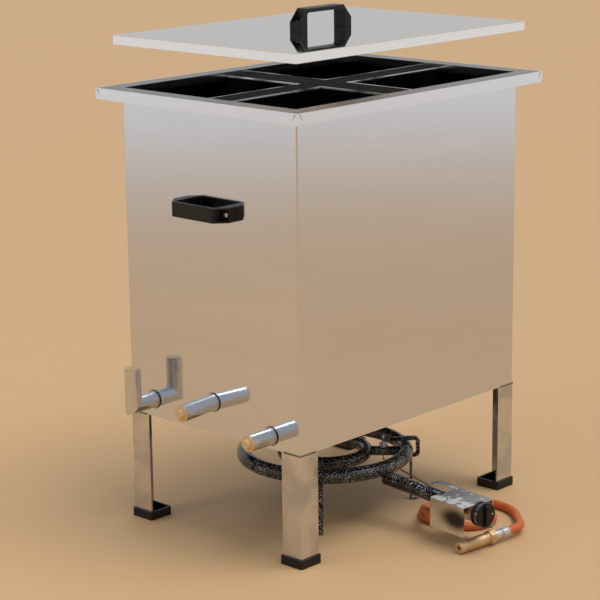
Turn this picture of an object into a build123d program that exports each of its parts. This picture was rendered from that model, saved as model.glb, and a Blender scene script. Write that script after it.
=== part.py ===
from build123d import *
import math
import os

# Gas-heated steam wax melter, in millimetres. The origin is on the floor under the middle of the
# tank. +Z is up, the outlets are on the -Y face and the burner's control box is on the +X side.

# Tank
tank_width = 382.0
tank_length = 540.0
tank_bottom = 185.0
rim_top = 725.0
shell_sheet = 1.5
corner_radius = 3.0
floor_sheet = 2.0

# Rim frame
rim_overhang = 30.0
rim_drop = 18.0
rim_sheet = 1.5
lip_sheet = 1.2
lip_depth = 14.0
slit_length = 10.0
slit_width = 3.2
slit_from_corner = 3.0
slit_lean = 0.75

# Legs and feet
angle_size = 40.0
angle_sheet = 3.0
foot_height = 14.4
foot_base = 4.0
foot_wall = 2.8
foot_clearance = 0.2

# Pipes and stoppers
pipe_od = 26.9
pipe_wall = 1.5
pipe_end_inside = 4.0
weld_width = 2.0
weld_rise = 1.3
wax_x = 2.0
wax_z = 236.4
wax_slope = 2.6
wax_reach = 69.0
drain_from_side = 62.4
drain_z = 206.0
drain_reach = 50.0
filler_from_side = 55.0
filler_z = 214.6
filler_reach = 46.6
filler_top = 276.0
stopper_fit = 0.06
stopper_inside = 22.0
stopper_seat_gap = 0.1
collar_inset = 0.65
collar_length = 2.5
nub_radius = 7.5
nub_length = 6.5
nub_round = 1.5
flush_head = 1.5
flush_round = 0.6

# Inside the tank
rail_setback = 60.0
tray_sheet = 1.2
tray_wall_low = 30.0
tray_wall_high = 18.0
tray_slope = 3.2
tray_side_gap = 3.5
tray_front_gap = 3.0
tray_rear_gap = 20.0
rail_width = 14.0
rail_sheet = 3.0
grid_top = 303.0
grid_sheet = 3.0
grid_gap = 2.0
grid_bar = 8.0
grid_bars = 13
grid_runner = 6.0
grid_runner_inset = 40.0
ledge_width = 12.0
cross_top_drop = 6.0
cross_arm_long = 53.0
cross_arm_short = 70.0
cross_sheet = 1.2
cross_side_gap = 0.5

# Handles
handle_length = 124.0
handle_width = 24.0
handle_height = 36.0
handle_bar = 6.5
handle_leg = 17.5
handle_chamfer_along = 18.0
handle_chamfer_up = 21.0
handle_corner = 4.0
handle_edge = 1.2
handle_wall = 3.0
handle_pocket = 15.0
handle_level = 550.5
lid_handle_x = 4.0
lid_handle_y = -9.0
screw_size = 5.0
screw_head = 8.6
screw_head_height = 3.0
screw_end = 1.0
nut_across = 8.0
nut_height = 4.0
hole_clearance = 0.1

# Lid, shown as it hangs above the tank
lid_margin = 8.3
lid_lift = 69.2
lid_edge = 15.0
lid_sheet = 1.2
lid_edge_radius = 1.0

# Burner, on its own legs under the tank
burner_x = 10.0
burner_y = -15.0
ring_level = 94.0
outer_ring_radius = 137.5
outer_tube = 12.5
inner_ring_radius = 70.0
inner_tube = 11.0
spoke_tube = 8.0
spoke_angles = (40.0, 160.0, 280.0)
feed_tube = 12.0
feed_wall = 2.0
feed_start_level = 76.4
feed_end_level = 67.1
air_port = 4.0
air_port_from_end = 14.0
support_angles = (-50.6, 49.0, 150.0)
support_inwards = 25.5
support_outwards = 22.5
support_thick = 6.0
support_width = 8.0
support_height = 30.0
support_bend = 6.0
leg_outwards = 10.5
leg_thick = 3.5
toe_length = 14.0
toe_thick = 3.0

# Control box, given straight and then turned with its valve about the feed pipe's end
box_turn = -6.42
box_start = 267.0
box_depth = 76.2
box_near = -43.1
box_far = 23.2
box_bottom = 27.0
box_top = 76.7
box_sheet = 1.2
rear_wall_height = 31.0
tab_beyond = 14.5
tab_centre_y = -1.0
tab_rise = 12.0
tab_radius = 21.0
tab_hole = 12.0
tab_near_side = 6.0

# Gas valve and its fittings, measured from the box's rear wall
valve_y = -17.0
valve_level = 65.0
injector_tip = 3.0
injector_radius = 4.5
injector_flange = 7.5
injector_flange_length = 5.0
valve_inwards = 17.0
valve_length = 38.0
valve_radius = 10.0
bonnet_length = 13.0
bonnet_radius = 8.0
inlet_along = 29.0
inlet_boss_radius = 8.0
inlet_boss_bottom = 47.0
inlet_radius = 6.0
inlet_bend = 8.5
inlet_run = 12.0
hose_level = 36.0
sleeve_radius = 8.8
sleeve_length = 19.0
sleeve_edge = 0.6
lead_boss_along = 11.0
lead_boss_radius = 4.0
lead_boss_end = 0.0

# Knob and stem
stem_radius = 3.0
stem_fit = 0.05
push_travel = 3.0
push_clearance = 1.0
knob_gap = 16.5
knob_radius = 19.5
knob_disc_length = 16.5
knob_grip_width = 9.0
knob_grip_rise = 5.0
knob_grip_inset = 1.5
knob_round = 1.5
stem_into_knob = 6.5
bezel_start = 9.5
bezel_length = 5.5
bezel_radius = 20.8
bezel_fit = 0.05

# Thermocouple
probe_radius = 2.5
probe_inwards = 37.5
probe_angle = 47.5
probe_bottom = 84.0
probe_top = 118.0
bracket_sheet = 2.0
bracket_width = 14.0
probe_round = 1.2
lead_radius = 1.25
lead_bend = 8.0
lead_bend_radius = 6.0

# Gas hose, its route chosen by hand from the valve to the free end
hose_diameter = 14.0
hose_end = (353.2, 46.9, 15.5)
hose_route = [
    (256.8, -15.9, 36),
    (232, -9, 34.5),
    (211, 5, 31),
    (197, 26, 25),
    (190, 50, 17),
    (192, 76, 10),
    (204, 99, 7.4),
    (225, 114, 7.4),
    (250, 118, 7.4),
    (274, 109, 7.4),
    (290, 90, 7.4),
    (294, 65, 7.4),
    (284, 42, 7.4),
    (263, 28, 7.4),
    (237, 21, 7.4),
    (211, 20, 7.4),
    (188, 29, 7.4),
    (173, 49, 7.4),
    (168, 75, 7.4),
    (172, 101, 7.4),
    (186, 124, 7.4),
    (208, 142, 7.4),
    (235, 153, 7.4),
    (263, 155, 7.4),
    (290, 146, 7.4),
    (311, 129, 7.6),
    (328, 111, 9.2),
    (345, 92, 13.2),
    (357.4, 70.5, 16.7),
]
ferrule_radius = 8.0
ferrule_length = 31.0
union_nut_across = 22.0
union_nut_length = 18.0
connector_radius = 9.5
connector_length = 57.0
connector_bore = 4.0

# Sizes that follow
half_width = tank_width / 2
half_length = tank_length / 2
shell_top = rim_top - rim_sheet
inner_half_width = half_width - shell_sheet
drain_x = half_width - drain_from_side
filler_x = filler_from_side - half_width
inner_half_length = half_length - shell_sheet
opening_half_width = inner_half_width - lip_sheet
opening_half_length = inner_half_length - lip_sheet
rim_half_width = half_width + rim_overhang
rim_half_length = half_length + rim_overhang
pipe_radius = pipe_od / 2
bore_radius = pipe_radius - pipe_wall
wax_inside = shell_sheet + tray_front_gap + tray_sheet
lid_bottom = rim_top + lid_lift
lid_top = lid_bottom + lid_edge
ring_top = ring_level + outer_tube
screw_seat = handle_height - handle_chamfer_up
screw_offset = (handle_length - handle_pocket) / 2
shank_hole = screw_size / 2 + hole_clearance
feed_slope = (feed_start_level - feed_end_level) / (box_start - burner_x - outer_ring_radius)
box_end = box_start + box_depth
valve_start = box_start + valve_inwards
valve_end = valve_start + valve_length
bonnet_end = valve_end + bonnet_length
inlet_x = valve_start + inlet_along
inlet_face = inlet_x - inlet_run
lead_boss_x = valve_start + lead_boss_along
knob_back = bonnet_end + knob_gap
stem_end = knob_back + stem_into_knob


def level(z):
    """Horizontal plane at a height above the floor."""
    return Plane.XY.offset(z)


def facing_side(x, y=0.0, z=0.0):
    """Plane across X, with local x along +Y and local y up."""
    return Plane(origin=(x, y, z), x_dir=(0, 1, 0), z_dir=(1, 0, 0))


def facing_front(y, x=0.0, z=0.0):
    """Plane across Y that looks towards -Y, with local x along +X and local y up."""
    return Plane(origin=(x, y, z), x_dir=(1, 0, 0), z_dir=(0, -1, 0))


def save(piece, name):
    piece.label = name
    export_step(piece, f"parts/{name}.step")


def outwards(angle):
    """Unit direction from the burner's middle, at an angle from +X."""
    return (math.cos(math.radians(angle)), math.sin(math.radians(angle)), 0)


def turned(x, y, z):
    """A point of the control box or its valve, turned with the box."""
    ahead = outwards(box_turn)
    return (box_start + (x - box_start) * ahead[0] - (y - burner_y) * ahead[1],
            burner_y + (x - box_start) * ahead[1] + (y - burner_y) * ahead[0], z)


def save_turned(piece, name):
    save(piece.rotate(Axis((box_start, burner_y, 0), (0, 0, 1)), box_turn), name)


os.makedirs("parts", exist_ok=True)

# Outlet directions: the wax pipe slopes down, the other two leave the wall level
wax_tilt = math.radians(wax_slope)
wax_way = (0, -math.cos(wax_tilt), -math.sin(wax_tilt))
wax_plane = Plane(origin=(wax_x, -half_length, wax_z), x_dir=(1, 0, 0), z_dir=wax_way)
drain_plane = facing_front(-half_length, drain_x, drain_z)
filler_plane = facing_front(-half_length, filler_x, filler_z)

# Handle seats: the lid's handle runs along Y, the carrying handles across the short faces
lid_seat = Plane(origin=(lid_handle_x, lid_handle_y, lid_top), x_dir=(0, 1, 0), z_dir=(0, 0, 1))
front_seat = facing_front(-half_length, 0, handle_level)
rear_seat = Plane(origin=(0, half_length, handle_level), x_dir=(-1, 0, 0), z_dir=(0, 1, 0))

# Tank shell: one folded sheet, open at top and bottom
with BuildPart() as tank_shell:
    with BuildSketch(level(tank_bottom)):
        RectangleRounded(tank_width, tank_length, corner_radius)
        RectangleRounded(2 * inner_half_width, 2 * inner_half_length,
                         corner_radius - shell_sheet, mode=Mode.SUBTRACT)
    extrude(amount=shell_top - tank_bottom)
    for outlet in (wax_plane, drain_plane, filler_plane):
        with BuildSketch(outlet):
            Circle(pipe_radius)
        extrude(amount=4 * shell_sheet, both=True, mode=Mode.SUBTRACT)
    for seat in (front_seat, rear_seat):
        with BuildSketch(seat):
            with Locations((-screw_offset, 0), (screw_offset, 0)):
                Circle(shank_hole)
        extrude(amount=2 * shell_sheet, both=True, mode=Mode.SUBTRACT)
save(tank_shell.part, "tank_shell")

# Floor: a flat plate welded inside the shell
with BuildPart() as tank_floor:
    with BuildSketch(level(tank_bottom)):
        RectangleRounded(2 * inner_half_width, 2 * inner_half_length, corner_radius - shell_sheet)
    extrude(amount=floor_sheet)
save(tank_floor.part, "tank_floor")

# Rim frame: flat flange, folded-down band outside and lip inside the shell
with BuildPart() as rim_frame:
    with BuildSketch(level(rim_top - rim_drop)):
        Rectangle(2 * rim_half_width, 2 * rim_half_length)
        Rectangle(2 * opening_half_width, 2 * opening_half_length, mode=Mode.SUBTRACT)
    extrude(amount=rim_drop)
    with BuildSketch(level(rim_top - rim_drop)):
        Rectangle(2 * (rim_half_width - rim_sheet), 2 * (rim_half_length - rim_sheet))
        RectangleRounded(2 * inner_half_width, 2 * inner_half_length,
                         corner_radius - shell_sheet, mode=Mode.SUBTRACT)
    extrude(amount=rim_drop - rim_sheet, mode=Mode.SUBTRACT)
    with BuildSketch(level(rim_top - rim_drop)):
        Rectangle(2 * inner_half_width, 2 * inner_half_length)
    extrude(amount=rim_drop - lip_depth, mode=Mode.SUBTRACT)
    slit_top = rim_top - rim_sheet
    for side in (-1, 1):
        for end in (-1, 1):
            along_front = side * (rim_half_width - slit_from_corner)
            with BuildSketch(facing_front(end * rim_half_length)):
                Polygon(
                    (along_front, slit_top),
                    (along_front - side * slit_width, slit_top),
                    (along_front - side * slit_length * slit_lean, slit_top - slit_length),
                    align=None,
                )
            extrude(amount=2 * rim_sheet, both=True, mode=Mode.SUBTRACT)
            along_side = end * (rim_half_length - slit_from_corner)
            with BuildSketch(facing_side(side * rim_half_width)):
                Polygon(
                    (along_side, slit_top),
                    (along_side - end * slit_width, slit_top),
                    (along_side - end * slit_length * slit_lean, slit_top - slit_length),
                    align=None,
                )
            extrude(amount=2 * rim_sheet, both=True, mode=Mode.SUBTRACT)
save(rim_frame.part, "rim_frame")

# Legs of equal angle, butt-welded under the shell's corners, each in a moulded cup foot
corners = {
    "front_left": (-1, -1),
    "front_right": (1, -1),
    "rear_left": (-1, 1),
    "rear_right": (1, 1),
}
for place, (side, end) in corners.items():
    corner_x = side * half_width
    corner_y = end * half_length
    with BuildPart() as leg:
        with BuildSketch(level(foot_base)):
            with Locations((corner_x - side * angle_size / 2, corner_y - end * angle_size / 2)):
                Rectangle(angle_size, angle_size)
            inner = angle_size - angle_sheet
            with Locations((corner_x - side * (angle_sheet + inner / 2),
                            corner_y - end * (angle_sheet + inner / 2))):
                Rectangle(inner, inner, mode=Mode.SUBTRACT)
        extrude(amount=tank_bottom - foot_base)
    save(leg.part, f"leg_{place}")

    pocket = angle_size + 2 * foot_clearance
    cup = pocket + 2 * foot_wall
    centre = (corner_x - side * angle_size / 2, corner_y - end * angle_size / 2)
    with BuildPart() as foot:
        with BuildSketch(level(0)):
            with Locations(centre):
                RectangleRounded(cup, cup, foot_wall)
        extrude(amount=foot_height)
        with BuildSketch(level(foot_base)):
            with Locations(centre):
                Rectangle(pocket, pocket)
        extrude(amount=foot_height - foot_base, mode=Mode.SUBTRACT)
    save(foot.part, f"foot_{place}")

# Wax tray: an open pan that slopes down to the wax outlet
tray_half_width = inner_half_width - tray_side_gap
tray_front = -(inner_half_length - tray_front_gap)
tray_rear = inner_half_length - tray_rear_gap
tray_low = wax_z - bore_radius - tray_sheet
tray_high = tray_low + (tray_rear - tray_front) * math.tan(math.radians(tray_slope))
tray_wall_front = tray_low + tray_wall_low
tray_wall_rear = tray_high + tray_wall_high
with BuildPart() as wax_tray:
    with BuildSketch(facing_side(0)):
        Polygon(
            (tray_front, tray_low),
            (tray_rear, tray_high),
            (tray_rear, tray_high + tray_sheet),
            (tray_front, tray_low + tray_sheet),
            align=None,
        )
    extrude(amount=tray_half_width, both=True)
    with BuildSketch(wax_plane):
        Circle(pipe_radius)
    extrude(amount=-wax_inside - tray_sheet, mode=Mode.SUBTRACT)
save(wax_tray.part, "wax_tray")

# Tray walls: the tray's upturned sides, welded at the corners, with the hole for the outlet
with BuildPart() as tray_walls:
    with BuildSketch(facing_side(0)):
        Polygon(
            (tray_front, tray_low + tray_sheet),
            (tray_rear, tray_high + tray_sheet),
            (tray_rear, tray_wall_rear),
            (tray_front, tray_wall_front),
            align=None,
        )
    extrude(amount=tray_half_width, both=True)
    with BuildSketch(level(tray_low)):
        with Locations((0, (tray_front + tray_rear) / 2)):
            Rectangle(2 * (tray_half_width - tray_sheet), tray_rear - tray_front - 2 * tray_sheet)
    extrude(amount=tray_wall_rear, mode=Mode.SUBTRACT)
    with BuildSketch(wax_plane):
        Circle(pipe_radius)
    extrude(amount=-wax_inside - tray_sheet, mode=Mode.SUBTRACT)
save(tray_walls.part, "tray_walls")

# Tray rails on the long walls, parallel to the tray's slope, set back behind the outlets
rail_front = tray_front + rail_setback
rail_low = tray_low + rail_setback * math.tan(math.radians(tray_slope))
with BuildPart() as tray_rails:
    for side in (-1, 1):
        with BuildSketch(facing_side(side * inner_half_width)):
            Polygon(
                (rail_front, rail_low - rail_sheet),
                (tray_rear, tray_high - rail_sheet),
                (tray_rear, tray_high),
                (rail_front, rail_low),
                align=None,
            )
        extrude(amount=-side * rail_width)
save(tray_rails.part, "tray_rails")

# Comb grids: two grates of flat bars across the tank, each on two runners
grid_length = inner_half_length - 2 * grid_gap
grid_half_width = inner_half_width - grid_gap
bar_pitch = (grid_length - grid_bar) / (grid_bars - 1)
with BuildPart() as comb_grids:
    with BuildSketch(level(grid_top - grid_sheet)):
        for end in (-1, 1):
            with Locations((0, end * (grid_gap + grid_length / 2))):
                with GridLocations(0, bar_pitch, 1, grid_bars):
                    Rectangle(2 * grid_half_width, grid_bar)
    extrude(amount=grid_sheet)
save(comb_grids.part, "comb_grids")

runner_x = grid_half_width - ledge_width - grid_runner_inset
with BuildPart() as grid_runners:
    with BuildSketch(level(grid_top - grid_sheet)):
        for end in (-1, 1):
            for side in (-1, 1):
                with Locations((side * runner_x, end * (grid_gap + grid_length / 2))):
                    Rectangle(grid_runner, grid_length)
    extrude(amount=-grid_runner)
save(grid_runners.part, "grid_runners")

# Ledges on the long walls that carry the grids' bars
ledge_level = grid_top - grid_sheet
with BuildPart() as grid_ledges:
    with BuildSketch(level(ledge_level)):
        for side in (-1, 1):
            with Locations((side * (inner_half_width - ledge_width / 2), 0)):
                Rectangle(ledge_width, 2 * (inner_half_length - corner_radius))
    extrude(amount=-rail_sheet)
save(grid_ledges.part, "grid_ledges")

# Steam cross: a hollow cross of folded sheet, closed at the top and open at the foot
cross_top = rim_top - cross_top_drop
with BuildPart() as steam_cross:
    with BuildSketch(level(grid_top)):
        Rectangle(cross_arm_long, 2 * (opening_half_length - cross_side_gap))
        Rectangle(2 * (opening_half_width - cross_side_gap), cross_arm_short)
        Rectangle(cross_arm_long - 2 * cross_sheet, 2 * (opening_half_length - cross_side_gap - cross_sheet),
                  mode=Mode.SUBTRACT)
        Rectangle(2 * (opening_half_width - cross_side_gap - cross_sheet), cross_arm_short - 2 * cross_sheet,
                  mode=Mode.SUBTRACT)
    extrude(amount=cross_top - cross_sheet - grid_top)
    with BuildSketch(level(cross_top - cross_sheet)):
        Rectangle(cross_arm_long, 2 * (opening_half_length - cross_side_gap))
        Rectangle(2 * (opening_half_width - cross_side_gap), cross_arm_short)
    extrude(amount=cross_sheet)
save(steam_cross.part, "steam_cross")

# Wax outlet: sloping pipe through the shell into the tray, with its weld bead square to the pipe
weld_lean = pipe_od * math.tan(wax_tilt)
with BuildPart() as wax_outlet:
    with BuildSketch(wax_plane.offset(-weld_lean)):
        Circle(pipe_radius + weld_rise)
    extrude(amount=weld_lean + weld_width + weld_lean / 2)
    with BuildSketch(facing_front(-half_length, wax_x, wax_z)):
        Rectangle(2 * pipe_od, 2 * pipe_od)
    extrude(amount=-pipe_od, mode=Mode.SUBTRACT)
    with BuildSketch(wax_plane.offset(-wax_inside)):
        Circle(pipe_radius)
    extrude(amount=wax_inside + wax_reach)
    with BuildSketch(wax_plane.offset(-wax_inside)):
        Circle(bore_radius)
    extrude(amount=wax_inside + wax_reach, mode=Mode.SUBTRACT)
save(wax_outlet.part, "wax_outlet")

# Drain of the water space
with BuildPart() as drain_pipe:
    with BuildSketch(drain_plane.offset(-pipe_end_inside)):
        Circle(pipe_radius)
    extrude(amount=pipe_end_inside + drain_reach)
    with BuildSketch(drain_plane):
        Circle(pipe_radius + weld_rise)
    extrude(amount=weld_width)
    with BuildSketch(drain_plane.offset(-pipe_end_inside)):
        Circle(bore_radius)
    extrude(amount=pipe_end_inside + drain_reach, mode=Mode.SUBTRACT)
save(drain_pipe.part, "drain_pipe")

# Filler elbow: a mitred pipe whose riser shows and sets the water level
with BuildPart() as filler_elbow:
    with BuildLine() as elbow_route:
        Polyline(
            (filler_x, -half_length + pipe_end_inside, filler_z),
            (filler_x, -half_length - filler_reach, filler_z),
            (filler_x, -half_length - filler_reach, filler_top),
        )
    with BuildSketch(filler_plane.offset(-pipe_end_inside)):
        Circle(pipe_radius)
        Circle(bore_radius, mode=Mode.SUBTRACT)
    sweep(transition=Transition.RIGHT)
    with BuildSketch(filler_plane):
        Circle(pipe_radius + weld_rise)
        Circle(pipe_radius - pipe_wall / 2, mode=Mode.SUBTRACT)
    extrude(amount=weld_width)
save(filler_elbow.part, "filler_elbow")

# Stoppers of the level pipes: turned wooden plugs with a collar on the mouth and a nub to pull
mouths = {
    "wax_stopper": wax_plane.offset(wax_reach),
    "drain_stopper": drain_plane.offset(drain_reach),
}
for name, mouth in mouths.items():
    with BuildPart() as stopper:
        with BuildSketch(mouth.offset(-stopper_inside)):
            Circle(bore_radius - stopper_fit)
        extrude(amount=stopper_inside + stopper_seat_gap)
        with BuildSketch(mouth.offset(stopper_seat_gap)):
            Circle(pipe_radius - collar_inset)
        extrude(amount=collar_length)
        with BuildSketch(mouth.offset(stopper_seat_gap + collar_length)):
            Circle(nub_radius)
        extrude(amount=nub_length)
        nub_edge = stopper.faces().sort_by(Axis(mouth.origin, mouth.z_dir))[-1].edges()
        fillet(nub_edge, nub_round)
    save(stopper.part, name)

# Stopper of the filler: a plain plug, almost flush with the riser's mouth
filler_mouth = Plane(origin=(filler_x, -half_length - filler_reach, filler_top))
with BuildPart() as filler_stopper:
    with BuildSketch(filler_mouth.offset(-stopper_inside)):
        Circle(bore_radius - stopper_fit)
    extrude(amount=stopper_inside + flush_head)
    fillet(filler_stopper.faces().sort_by(Axis.Z)[-1].edges(), flush_round)
save(filler_stopper.part, "filler_stopper")


def bridge_handle(seat):
    """Moulded bridge handle on a seat plane, its long side along the plane's local x."""
    side_view = Plane(origin=seat.origin, x_dir=seat.x_dir, z_dir=-seat.y_dir)
    end = handle_length / 2
    with BuildPart() as handle:
        with BuildSketch(side_view):
            Polygon(
                (-end, 0),
                (-end, handle_height - handle_chamfer_up),
                (-end + handle_chamfer_along, handle_height),
                (end - handle_chamfer_along, handle_height),
                (end, handle_height - handle_chamfer_up),
                (end, 0),
                align=None,
            )
        extrude(amount=handle_width / 2, both=True)
        long_edges = handle.edges().filter_by(
            lambda e: abs(e.tangent_at(0.5).dot(seat.y_dir)) < 0.01
            and (e.center() - seat.origin).dot(seat.z_dir) > handle_edge)
        chamfer(long_edges, handle_edge)
        with BuildSketch(side_view):
            with Locations((0, (handle_height - handle_bar) / 2)):
                Rectangle(handle_length - 2 * handle_leg, handle_height - handle_bar)
        extrude(amount=handle_width / 2, both=True, mode=Mode.SUBTRACT)
        inner_corners = handle.edges().filter_by(
            lambda e: abs(e.tangent_at(0.5).dot(seat.y_dir)) > 0.99
            and abs((e.center() - seat.origin).dot(seat.x_dir)) < end - handle_leg + 0.1
            and abs((e.center() - seat.origin).dot(seat.z_dir) - handle_height + handle_bar) < 0.1)
        fillet(inner_corners, handle_corner)
        with BuildSketch(side_view):
            with Locations((-screw_offset, (screw_seat + handle_height) / 2),
                           (screw_offset, (screw_seat + handle_height) / 2)):
                Rectangle(handle_pocket, handle_chamfer_up)
        extrude(amount=handle_width / 2 - handle_wall, both=True, mode=Mode.SUBTRACT)
        with BuildSketch(seat):
            with Locations((-screw_offset, 0), (screw_offset, 0)):
                Circle(shank_hole)
        extrude(amount=screw_seat, mode=Mode.SUBTRACT)
    return handle.part


def handle_screws(seats, sheet):
    """A screw and its nut for each handle foot, through a wall of the given thickness."""
    with BuildPart() as screws:
        for seat in seats:
            with BuildSketch(seat.offset(screw_seat)):
                with Locations((-screw_offset, 0), (screw_offset, 0)):
                    Circle(screw_head / 2)
            extrude(amount=screw_head_height)
            with BuildSketch(seat.offset(screw_seat)):
                with Locations((-screw_offset, 0), (screw_offset, 0)):
                    Circle(screw_size / 2)
            extrude(amount=-(screw_seat + sheet + nut_height + screw_end))
            with BuildSketch(seat.offset(-sheet)):
                with Locations((-screw_offset, 0), (screw_offset, 0)):
                    RegularPolygon(nut_across / 2, 6, major_radius=False)
            extrude(amount=-nut_height)
    return screws.part


save(bridge_handle(lid_seat), "lid_handle")
save(bridge_handle(front_seat), "front_handle")
save(bridge_handle(rear_seat), "rear_handle")
save(handle_screws([lid_seat], lid_sheet), "lid_handle_screws")
save(handle_screws([front_seat, rear_seat], shell_sheet), "carry_handle_screws")

# Lid: a flat top sheet inside its folded-down edge
with BuildPart() as lid_edge_frame:
    with BuildSketch(level(lid_bottom)):
        Rectangle(tank_width + 2 * lid_margin, tank_length + 2 * lid_margin)
    extrude(amount=lid_edge)
    fillet(lid_edge_frame.faces().sort_by(Axis.Z)[-1].edges(), lid_edge_radius)
    with BuildSketch(level(lid_bottom)):
        Rectangle(tank_width + 2 * (lid_margin - lid_sheet), tank_length + 2 * (lid_margin - lid_sheet))
    extrude(amount=lid_edge, mode=Mode.SUBTRACT)
save(lid_edge_frame.part, "lid_edge")

with BuildPart() as lid_panel:
    with BuildSketch(level(lid_top)):
        Rectangle(tank_width + 2 * (lid_margin - lid_sheet), tank_length + 2 * (lid_margin - lid_sheet))
    extrude(amount=-lid_sheet)
    with BuildSketch(lid_seat):
        with Locations((-screw_offset, 0), (screw_offset, 0)):
            Circle(shank_hole)
    extrude(amount=-2 * lid_sheet, mode=Mode.SUBTRACT)
save(lid_panel.part, "lid_panel")

# Burner rings: bent tube, closed on itself, solid because nothing opens it to view
burner_axis = Axis((burner_x, burner_y, 0), (0, 0, 1))
ring_section = facing_front(burner_y, burner_x, ring_level)
with BuildPart() as outer_ring:
    with BuildSketch(ring_section):
        with Locations((outer_ring_radius, 0)):
            Circle(outer_tube)
    revolve(axis=burner_axis)
save(outer_ring.part, "outer_ring")

with BuildPart() as inner_ring:
    with BuildSketch(ring_section):
        with Locations((inner_ring_radius, 0)):
            Circle(inner_tube)
    revolve(axis=burner_axis)
save(inner_ring.part, "inner_ring")

# Spokes that carry gas to the inner ring, coped to fit both rings
with BuildPart() as ring_spokes:
    for angle in spoke_angles:
        way = outwards(angle)
        start = (burner_x + inner_ring_radius * way[0], burner_y + inner_ring_radius * way[1], ring_level)
        with BuildSketch(Plane(origin=start, z_dir=way)):
            Circle(spoke_tube)
        extrude(amount=outer_ring_radius - inner_ring_radius)
    add(outer_ring.part, mode=Mode.SUBTRACT)
    add(inner_ring.part, mode=Mode.SUBTRACT)
save(ring_spokes.part, "ring_spokes")

# Feed pipe: slopes down from the outer ring to the back of the control box, with air ports
feed_way = Vector(1, 0, -feed_slope).normalized()
feed_origin = (burner_x + outer_ring_radius, burner_y, feed_start_level)
feed_plane = Plane(origin=feed_origin, x_dir=(0, 1, 0), z_dir=feed_way)
feed_run = box_start - burner_x
port_x = box_start - air_port_from_end
port_level = feed_end_level + feed_slope * air_port_from_end
rear_wall_plane = Plane(origin=(box_start, burner_y, 0), z_dir=outwards(box_turn))
with BuildPart() as feed_pipe:
    with BuildSketch(feed_plane):
        Circle(feed_tube)
    extrude(amount=feed_run)
    add(outer_ring.part, mode=Mode.SUBTRACT)
    with BuildSketch(feed_plane.offset(outer_tube + feed_wall)):
        Circle(feed_tube - feed_wall)
    extrude(amount=feed_run, mode=Mode.SUBTRACT)
    split(bisect_by=rear_wall_plane, keep=Keep.BOTTOM)
    with BuildSketch(facing_front(burner_y, port_x, port_level)):
        Circle(air_port)
    extrude(amount=2 * feed_tube, both=True, mode=Mode.SUBTRACT)
save(feed_pipe.part, "feed_pipe")

# Pan supports: a bent bar that stands out over the ring, with its leg and toe
for number, angle in enumerate(support_angles, start=1):
    way = Vector(*outwards(angle))
    upright = Plane(origin=(burner_x, burner_y, 0), x_dir=way, z_dir=way.cross(Vector(0, 0, 1)))
    leg_reach = outer_ring_radius + leg_outwards
    upper = ring_top + support_thick / 2
    lower = upper - support_height
    with BuildPart() as support:
        with BuildLine(upright) as bent:
            FilletPolyline(
                (outer_ring_radius - support_inwards, upper),
                (outer_ring_radius + support_outwards, upper),
                (outer_ring_radius + support_outwards, lower),
                (outer_ring_radius, lower),
                radius=support_bend,
            )
        support_start = upright.from_local_coords(Vector(outer_ring_radius - support_inwards, upper))
        with BuildSketch(Plane(origin=support_start, x_dir=(0, 0, 1), z_dir=way)):
            Rectangle(support_thick, support_width)
        sweep()
        add(outer_ring.part, mode=Mode.SUBTRACT)
        with BuildSketch(upright):
            with Locations((leg_reach, lower / 2)):
                Rectangle(leg_thick, lower)
            with Locations((leg_reach - leg_thick / 2 + toe_length / 2, toe_thick / 2)):
                Rectangle(toe_length, toe_thick)
        extrude(amount=support_width / 2, both=True)
    save(support.part, f"pan_support_{number}")

# Control box: bright sheet folded over top and sides, open in front and below. Its tab has an eye
# that is cut away on the near side to clear the feed pipe.
tab_lift = math.radians(tab_rise)
tab_plane = Plane(origin=(box_start, tab_centre_y, box_top), x_dir=(math.cos(tab_lift), 0, -math.sin(tab_lift)),
                  z_dir=(math.sin(tab_lift), 0, math.cos(tab_lift)))
with BuildPart() as control_box:
    box_middle = (box_near + box_far) / 2
    box_width = box_far - box_near
    with BuildSketch(facing_side(box_start)):
        with Locations((box_middle, (box_bottom + box_top) / 2)):
            Rectangle(box_width, box_top - box_bottom)
        with Locations((box_middle, (box_bottom + box_top) / 2 - box_sheet)):
            Rectangle(box_width - 2 * box_sheet, box_top - box_bottom, mode=Mode.SUBTRACT)
    extrude(amount=box_end - box_start)
    with BuildSketch(facing_side(box_start)):
        with Locations((box_middle, box_top - rear_wall_height / 2)):
            Rectangle(box_width, rear_wall_height)
        with Locations((valve_y, valve_level)):
            Circle(injector_radius + hole_clearance, mode=Mode.SUBTRACT)
        with Locations((lead_boss_end + lead_bend, valve_level)):
            Circle(2 * lead_radius, mode=Mode.SUBTRACT)
    extrude(amount=box_sheet)
    with BuildSketch(tab_plane):
        with Locations(((box_sheet - tab_beyond) / 2, 0)):
            Rectangle(tab_beyond + box_sheet, 2 * tab_radius)
        with Locations((-tab_beyond, 0)):
            Circle(tab_radius)
            Circle(tab_hole, mode=Mode.SUBTRACT)
        with Locations((-tab_beyond, -tab_near_side - tab_radius)):
            Rectangle(4 * tab_radius, 2 * tab_radius, mode=Mode.SUBTRACT)
    extrude(amount=-box_sheet)
save_turned(control_box.part, "control_box")

# Injector: brass nozzle that screws into the valve through the box's rear wall
valve_axis = Plane(origin=(0, valve_y, valve_level), x_dir=(0, 1, 0), z_dir=(1, 0, 0))
with BuildPart() as injector:
    with BuildSketch(valve_axis.offset(box_start - injector_tip)):
        Circle(injector_radius)
    extrude(amount=valve_start - box_start + injector_tip)
    with BuildSketch(valve_axis.offset(box_start + box_sheet)):
        RegularPolygon(injector_flange, 6)
    extrude(amount=injector_flange_length)
save_turned(injector.part, "injector")

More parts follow.
